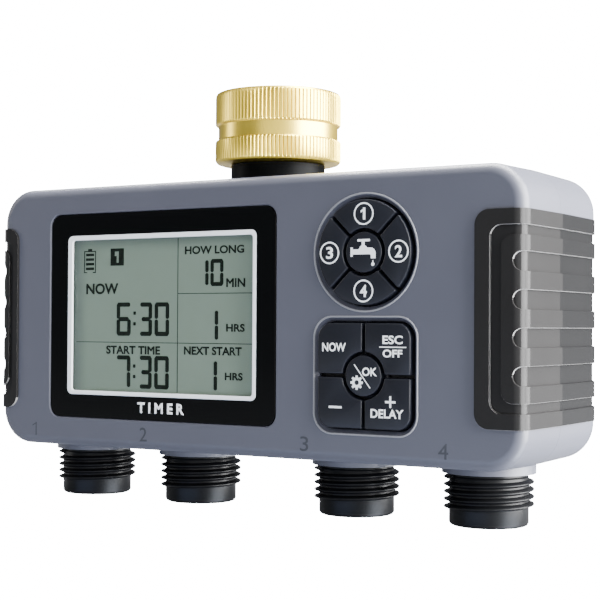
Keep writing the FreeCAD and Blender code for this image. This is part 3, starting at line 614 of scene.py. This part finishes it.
def dress_cad_nodes():
    """Give every CAD piece the finish of its slot, and the neck in the nut's shade a deeper one."""
    for entry in frame["record"]["subparts"]:
        node = frame["nodes"][entry["node"]]
        node.data.materials.clear()
        node.data.materials.append(FINISHES[entry["material_slot"]])
    frame["nodes"]["inlet_neck"].data.materials[0] = FINISHES["neck_black"]


dress_cad_nodes()


# ---- inlet nut and outlets ----------------------------------------------------------------

def make_nut():
    """Brass swivel nut: two knurled bands with a smooth groove between, threaded inside."""
    ridges, steps = 100, 500
    crest, valley = 20.6, 20.25
    first_thread, thread_turns = 123.5, 5
    corners = [(11.6, 111.9), (18.9, 111.9), (19.9, 112.2), (20.35, 112.7), (20.6, 113.2),
               (20.6, 119.1), (20.35, 119.45), (19.75, 119.6), (19.6, 119.8), (19.6, 124.3),
               (19.75, 124.5), (20.35, 124.6), (20.6, 125.0), (20.6, 133.5), (20.45, 134.4),
               (20.1, 134.9), (19.4, 135.2), (14.5, 135.2), (13.5, 134.3)]
    for turn in reversed(range(thread_turns)):
        base = first_thread + turn * THREAD_PITCH
        corners += [(13.5, base + 1.3), (12.75, base + 0.7), (12.75, base), (13.5, base - 0.6)]
    corners += [(13.5, 118.2), (11.6, 118.2)]
    nut = lathe("knurled_nut", corners, steps)

    def in_valley(point):
        radius = math.hypot(point.x, point.y - AXIS * MM)
        turn = math.atan2(point.y - AXIS * MM, point.x) / (2 * math.pi) * steps
        return radius > (crest - 0.02) * MM and round(turn) % (steps // ridges) == 2

    choose(nut, "VERT", in_valley)
    deep = valley / crest
    bpy.ops.transform.resize(value=(deep, deep, 1), center_override=(0, AXIS * MM, 0.12))
    bpy.ops.object.mode_set(mode="OBJECT")
    dress(smooth(nut, 28.0), FINISHES["brass"], "inlet_nut", "brass", "inlet_nut")


def make_thread(x):
    """The ridge of an outlet's thread, wound up round the line at x."""
    turns, steps, start = 4.4, 240, 4.6
    section = [(11.6, -0.85), (13.30, -0.16), (13.49, 0.02), (13.49, 0.26), (13.30, 0.44),
               (11.6, 1.13)]
    clear_selection()
    bpy.ops.mesh.primitive_circle_add(vertices=len(section),
                                      location=(x * MM, AXIS * MM, start * MM))
    ridge = bpy.context.object
    for vertex, (radius, height) in zip(ridge.data.vertices, section):
        vertex.co = (0, radius * MM, height * MM)
    apply_modifier(ridge, "SCREW", axis="Z", angle=2 * math.pi * turns, steps=steps,
                   render_steps=steps, screw_offset=THREAD_PITCH * turns * MM, iterations=1)
    choose_all(ridge)
    bpy.ops.mesh.fill_holes(sides=0)
    bpy.ops.mesh.select_all(action="SELECT")
    bpy.ops.mesh.normals_make_consistent(inside=False)
    bpy.ops.object.mode_set(mode="OBJECT")
    return settle(ridge, "ridge")


def make_outlets():
    """Black moulded outlets with a wound thread and a rounded lip."""
    corners = [(7.5, 0.4), (7.9, 0.0), (10.9, 0.0), (11.5, 0.25), (11.9, 0.9), (11.9, 14.3),
               (11.75, 14.7), (11.5, 14.9), (11.5, 20.75), (12.8, 20.75), (12.8, 22.6),
               (10.5, 22.6), (10.5, 24.0), (7.5, 24.0)]
    for node, x in OUTLETS.items():
        core = lathe(node + "_core", corners, 96, x)
        outlet = joined([core, make_thread(x)], node + "_threaded")
        dress(smooth(outlet, 38.0), FINISHES["black_plastic"], "timer_body", "black_plastic",
              node)


# ---- shells, grips, keys and frames -------------------------------------------------------

def gets_painted_highlight(middle, normal):
    """Whether a face of a grip is a rounded edge that looks down or, in front, to the right, and so
    gets a painted highlight.
    """
    least, most, front_wrap = 0.22, 0.97, 95.0
    down = least < -normal.z < most
    in_front = abs(middle.x) < front_wrap * MM and normal.y < 0
    return down or in_front and least < normal.x < most


def make_grips():
    """Rubber grips: rounded steps with painted highlights on some edges, sides drafted both ways
    from AXIS.
    """
    side, blend, draft = 97.0, 1.5, math.tan(math.radians(1.4))
    flattest = 0.9  # degrees, less than the drafts' meeting, which has to show as an edge
    for node in ("left_grip", "right_grip"):
        grip = softened(node, node + "_rubber", 0.38, 3, 35.0)
        choose_all(grip)
        bpy.ops.mesh.bisect(plane_co=(0, AXIS * MM, 0), plane_no=(0, 1, 0))
        bpy.ops.object.mode_set(mode="OBJECT")
        for vertex in grip.data.vertices:
            reach = abs(vertex.co.x) - side * MM
            if reach > 0:
                lean = abs(vertex.co.y - AXIS * MM) * draft
                vertex.co.x -= math.copysign(lean * min(1.0, reach / (blend * MM)), vertex.co.x)
        smooth(grip, flattest)
        dress(grip, FINISHES["grip_rubber"], "timer_body", "grip_rubber", node)
        # Edges that face down or, in front, to the right take the light grey finish, a painted
        # highlight.
        grip.data.materials.append(FINISHES["grip_edge"])
        for face in grip.data.polygons:
            face.material_index = int(gets_painted_highlight(face.center, face.normal))


def make_rim(name, half, corner, height):
    """A fine raised rim round a key well: a rounded square, or a circle if all corner."""
    thick, steps = 0.3, 16
    path = []
    for quarter, (side, rise) in enumerate(((1, 1), (-1, 1), (-1, -1), (1, -1))):
        for step in range(steps + 1):
            turn = math.radians(90.0 * (quarter + step / steps))
            path.append((PAD_X + side * (half - corner) + corner * math.cos(turn),
                         height + rise * (half - corner) + corner * math.sin(turn)))
    path = [point for index, point in enumerate(path)
            if math.dist(point, path[index - 1]) > 0.01]
    clear_selection()
    bpy.ops.mesh.primitive_circle_add(vertices=len(path))
    rim = bpy.context.object
    for vertex, (x, z) in zip(rim.data.vertices, path):
        vertex.co = (x * MM, FRONT * MM, z * MM)
    bpy.ops.object.convert(target="CURVE")
    rim = bpy.context.object
    rim.data.bevel_depth = thick * MM
    rim.data.bevel_resolution = 3
    bpy.ops.object.convert(target="MESH")
    rim = settle(bpy.context.object, name)
    # The rim is housing grey; its lighter finish is a painted highlight.
    dress(smooth(rim, 60.0), FINISHES["well_rim_highlight"], "timer_body", "housing_grey")


def make_shells():
    """The two shells, with a fine radius on their edges, and the rims of the key wells."""
    for node in ("front_housing", "rear_housing"):
        shell = evened(softened(node, node + "_shell", 0.35, 2, 30.0))
        dress(shell, FINISHES["housing_grey"], "timer_body", "housing_grey", node)
    make_rim("round_well_rim", 17.55, 17.55, ROUND_Z)
    make_rim("square_well_rim", 17.5, 6.2, SQUARE_Z)


def make_keys():
    """Key caps with rounded edges."""
    for body in frame["bodies"]:
        if body.startswith("key_"):
            cap = softened(body, body + "_cap", 0.4, 3, 40.0)
            dress(cap, FINISHES["key_black"], body, "key_black", body)


def make_frames():
    """Bezel, white surround and battery cover with rounded edges, and the clear lens."""
    for node, width, slot, body in (("display_bezel", 0.25, "bezel_black", "timer_body"),
                                    ("display_surround", 0.35, "surround_white", "timer_body"),
                                    ("battery_cover", 0.3, "housing_grey", "battery_cover")):
        moulding = evened(softened(node, node + "_moulding", width, 3, 30.0))
        dress(moulding, FINISHES[slot], body, slot, node)
    low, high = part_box("display_lens")
    lens_back, lens_thick, lens_corner = -25.45, 0.4, 1.5
    lens = slab(low.x / MM, high.x / MM, low.z / MM, high.z / MM, lens_back, lens_thick,
                lens_corner)
    settle(lens, "clear_lens")
    dress(lens, FINISHES["lens_clear"], "timer_body", "lens_clear", "display_lens")


# ---- print --------------------------------------------------------------------------------

LCD_THICK = 0.06
INK_THICK = 0.02
SEGMENTS = {"0": "abcdef", "1": "bc", "3": "abcdg", "6": "acdefg", "7": "abc"}
NUMERALS = (21.2, 25.7)  # how low and high the outlets' numbers reach


def segment(x1, x2, z1, z2, stroke):
    """One stroke of a display digit, with clipped ends."""
    bar = slab(x1, x2, z1, z2, LCD_DEPTH, LCD_THICK)
    choose(bar, "EDGE", lambda a, b: abs(a.y - b.y) > 0.5 * LCD_THICK * MM)
    bpy.ops.mesh.bevel(offset=0.3 * stroke * MM, segments=1)
    bpy.ops.object.mode_set(mode="OBJECT")
    return bar


def digit(figure, left, right, low, high, stroke):
    """A seven-segment digit in the display."""
    middle, gap, half = (low + high) / 2, 0.12, stroke / 2
    places = {
        "a": (left + gap * 2, right - gap * 2, high - stroke, high),
        "d": (left + gap * 2, right - gap * 2, low, low + stroke),
        "g": (left + stroke * 0.6, right - stroke * 0.6, middle - half, middle + half),
        "f": (left, left + stroke, middle + gap, high - gap * 3),
        "b": (right - stroke, right, middle + gap, high - gap * 3),
        "e": (left, left + stroke, low + gap * 3, middle - gap),
        "c": (right - stroke, right, low + gap * 3, middle - gap),
    }
    return [segment(*places[name], stroke) for name in SEGMENTS[figure]]


def lcd_text(text, left, right, low, high):
    """Small capitals in the display."""
    return lettering(text, left, right, low, high, LCD_DEPTH, LCD_THICK, 0.03)


def make_display_print():
    """Everything that the display shows."""
    marks = []
    for figures, low, high in ((("6", "3", "0"), 55.6, 66.6), (("7", "3", "0"), 38.3, 49.1)):
        for figure, left, right in zip(figures, (-48.1, -38.4, -32.2), (-42.2, -33.3, -26.3)):
            marks += digit(figure, left, right, low, high, 1.4)
        for part in (0.36, 0.68):
            z = low + (high - low) * part
            marks.append(slab(-41.05, -40.05, z - 0.55, z + 0.55, LCD_DEPTH, LCD_THICK, 0.2))
    marks += digit("1", -15.0, -10.7, 71.7, 80.3, 1.25) + digit("0", -9.9, -4.9, 71.7, 80.3, 1.25)
    marks += digit("1", -12.0, -6.8, 54.3, 64.2, 1.3) + digit("1", -12.0, -7.1, 38.2, 48.1, 1.3)
    for text, left, right, low, high in (
            ("NOW", -61.4, -47.5, 69.4, 73.05), ("START TIME", -52.5, -29.9, 49.5, 52.3),
            ("HOW LONG", -20.1, 3.0, 82.0, 84.6), ("MIN", -3.8, 3.5, 71.3, 74.1),
            ("HRS", -3.7, 3.4, 57.2, 59.7), ("NEXT START", -20.2, 2.3, 49.7, 52.4),
            ("HRS", -4.1, 2.75, 41.9, 44.3)):
        marks.append(lcd_text(text, left, right, low, high))
    for left, right, low, high in ((-23.0, -22.75, 37.3, 87.4), (-65.6, 6.8, 53.3, 53.5),
                                   (-22.9, 6.8, 69.3, 69.5)):
        marks.append(slab(left, right, low, high, LCD_DEPTH, LCD_THICK / 2))
    marks += make_battery_mark()
    marks += make_zone_mark()
    dress(joined(layered(marks), "display_print"), LCD_INK, "timer_body", "lcd_glass")


def make_battery_mark():
    """The battery sign: a shell, a cap and four bars."""
    left, right, low, high, line = -62.4, -57.3, 76.6, 84.0, 0.3
    bars = [(left, left + line, low, high), (right - line, right, low, high),
            (left, right, high - line, high), (left, left + 1.3, low, low + line),
            (right - 1.3, right, low, low + line), (left + 1.7, right - 1.7, high, high + 0.7)]
    for step in range(4):
        bottom = low + 1.0 + step * 1.55
        bars.append((left + 0.8, right - 0.8, bottom, bottom + 0.85))
    return [slab(*bar, LCD_DEPTH, LCD_THICK) for bar in bars]


def make_zone_mark():
    """A dark block with a light figure 1 left out of it."""
    left, right, low, high, stroke = -50.9, -45.3, 78.9, 84.6, 0.95
    middle = (left + right) / 2 + 0.2
    foot, top = low + 0.95, high - 1.0
    blocks = [(middle + stroke / 2, right, low, high), (left, right, low, foot),
              (left, right, top, high), (left, middle - stroke / 2, foot, top - 1.5),
              (left, middle - stroke / 2 - 0.8, top - 1.6, top + 0.1)]
    return [slab(*block, LCD_DEPTH, LCD_THICK) for block in blocks]


def legend(key, marks):
    """The white print of one key."""
    dress(joined(layered(marks), key + "_legend"), WHITE_INK, key, "surround_white")


def words(text, left, right, low, high, bold=0.024):
    """White words printed on a key."""
    return lettering(text, left, right, low, high, KEY_FACE, INK_THICK, bold)


def bar(left, right, low, high, corner=0.0):
    """A white bar printed on a key."""
    return slab(left, right, low, high, KEY_FACE, INK_THICK, corner)


def make_legends():
    """Zone figures in rings, a tap, and the words and signs of the square keypad."""
    for figure, x, z in (("1", PAD_X, 92.5), ("2", 59.2, ROUND_Z), ("3", 35.8, ROUND_Z),
                         ("4", PAD_X, 69.6)):
        ring = ring_mark(x, z, 3.35, 2.9, KEY_FACE, INK_THICK)
        if figure == "1":
            mark = figure_one(x - 0.85, x + 0.55, z - 1.8, z + 1.8, KEY_FACE, INK_THICK, 0.75)
        else:
            mark = words(figure, x - 1.2, x + 1.2, z - 1.8, z + 1.8)
        legend("key_zone_" + figure, [ring, mark])
    legend("key_tap", tap_marks())
    legend("key_now", [words("NOW", 33.4, 41.6, 51.6, 54.2)])
    legend("key_esc_off", [words("ESC", 54.0, 60.7, 54.0, 56.5), bar(53.0, 61.9, 52.95, 53.25),
                           words("OFF", 54.1, 60.6, 50.1, 52.4)])
    legend("key_minus", [bar(35.8, 40.3, 34.7, 35.35)])
    legend("key_delay", [bar(55.0, 58.4, 36.75, 37.4), bar(56.4, 57.0, 35.4, 38.8),
                         words("DELAY", 50.1, 61.0, 32.3, 34.9)])
    legend("key_ok", ok_marks())


def outline_mark(points, x, z):
    """A white shape printed on a key from its outline round (x, z), in mm."""
    clear_selection()
    bpy.ops.mesh.primitive_circle_add(vertices=len(points), fill_type="NGON")
    piece = bpy.context.object
    for vertex, (across, upward) in zip(piece.data.vertices, points):
        vertex.co = ((x + across) * MM, KEY_FACE * MM, (z + upward) * MM)
    choose_all(piece)
    bpy.ops.mesh.normals_make_consistent(inside=False)
    bpy.ops.object.mode_set(mode="OBJECT")
    if piece.data.polygons[0].normal.y > 0:
        piece.data.flip_normals()
    apply_modifier(piece, "SOLIDIFY", thickness=INK_THICK * MM, offset=1.0)
    return settle(piece, "shape")


def tap_marks():
    """A garden tap: wall flange, body, handle, bent spout and a drop."""
    bend_x, bend_z, bend = 2.4, -0.4, 1.7
    spout = [(bend_x + bend * math.sin(turn), bend_z + bend * math.cos(turn))
             for turn in (math.radians(18.0 * step) for step in range(6))]
    body = [(-4.4, -1.3), (-4.4, 1.45), (-3.65, 1.45), (-3.65, 0.85), (-1.6, 0.85), (-1.2, 1.6),
            (-0.6, 2.1), (-0.6, 3.4), (0.4, 3.4), (0.4, 2.1), (1.0, 1.6), (1.4, 1.3)]
    foot = [(4.1, -1.9), (2.5, -1.9), (2.5, -0.95), (2.2, -0.65), (-3.65, -0.65), (-3.65, -1.3)]
    handle = bar(PAD_X - 2.1, PAD_X + 2.2, ROUND_Z + 3.15, ROUND_Z + 3.85, 0.3)
    drop = ring_mark(PAD_X + 3.2, ROUND_Z - 3.6, 0.55, 0.0, KEY_FACE, INK_THICK, 24)
    tip = bar(PAD_X + 3.03, PAD_X + 3.37, ROUND_Z - 3.5, ROUND_Z - 2.5, 0.1)
    return [outline_mark(body + spout + foot, PAD_X, ROUND_Z), handle, drop, tip]


def ok_marks():
    """A gear and OK, parted by a slanting line."""
    gear_x, gear_z = 45.4, 42.5
    marks = [words("OK", 47.2, 52.2, 44.5, 47.0),
             ring_mark(gear_x, gear_z, 1.55, 0.75, KEY_FACE, INK_THICK)]
    for tooth in range(8):
        mark = bar(gear_x - 0.36, gear_x + 0.36, gear_z + 1.4, gear_z + 2.1, 0.1)
        turn_mark(mark, gear_x, gear_z, tooth * 45.0)
        marks.append(mark)
    line = bar(47.08, 47.38, 40.0, 48.8)
    turn_mark(line, 47.23, 44.4, 38.0)
    return marks + [line]


def turn_mark(mark, x, z, degrees):
    """Turn a printed mark about a point of the front, clockwise as the front is seen."""
    choose_all(mark)
    bpy.ops.transform.rotate(value=math.radians(degrees), orient_axis="Y",
                             center_override=(x * MM, KEY_FACE * MM, z * MM))
    bpy.ops.object.mode_set(mode="OBJECT")


def make_numerals():
    """The outlets' numbers along the foot of the front."""
    marks = []
    for figure, x, half in (("2", -35.3, 1.5), ("3", 26.6, 1.5), ("4", 73.4, 1.6)):
        marks.append(lettering(figure, x - half, x + half, *NUMERALS, FRONT, INK_THICK, 0.006))
    marks.append(figure_one(-83.5, -81.7, *NUMERALS, FRONT, INK_THICK, 0.45))
    dress(joined(marks, "outlet_numbers"), NUMERAL_INK, "timer_body", "housing_grey")


def make_bezel_mark():
    """A plain word under the display."""
    mark = lettering("T I M E R", -38.0, -19.0, 30.4, 33.9, BEZEL_FACE, INK_THICK, 0.035)
    settle(mark, "bezel_word")
    dress(mark, WHITE_INK, "timer_body", "surround_white")


make_nut()
make_outlets()
make_shells()
make_grips()
make_keys()
make_frames()
make_display_print()
make_legends()
make_numerals()
make_bezel_mark()
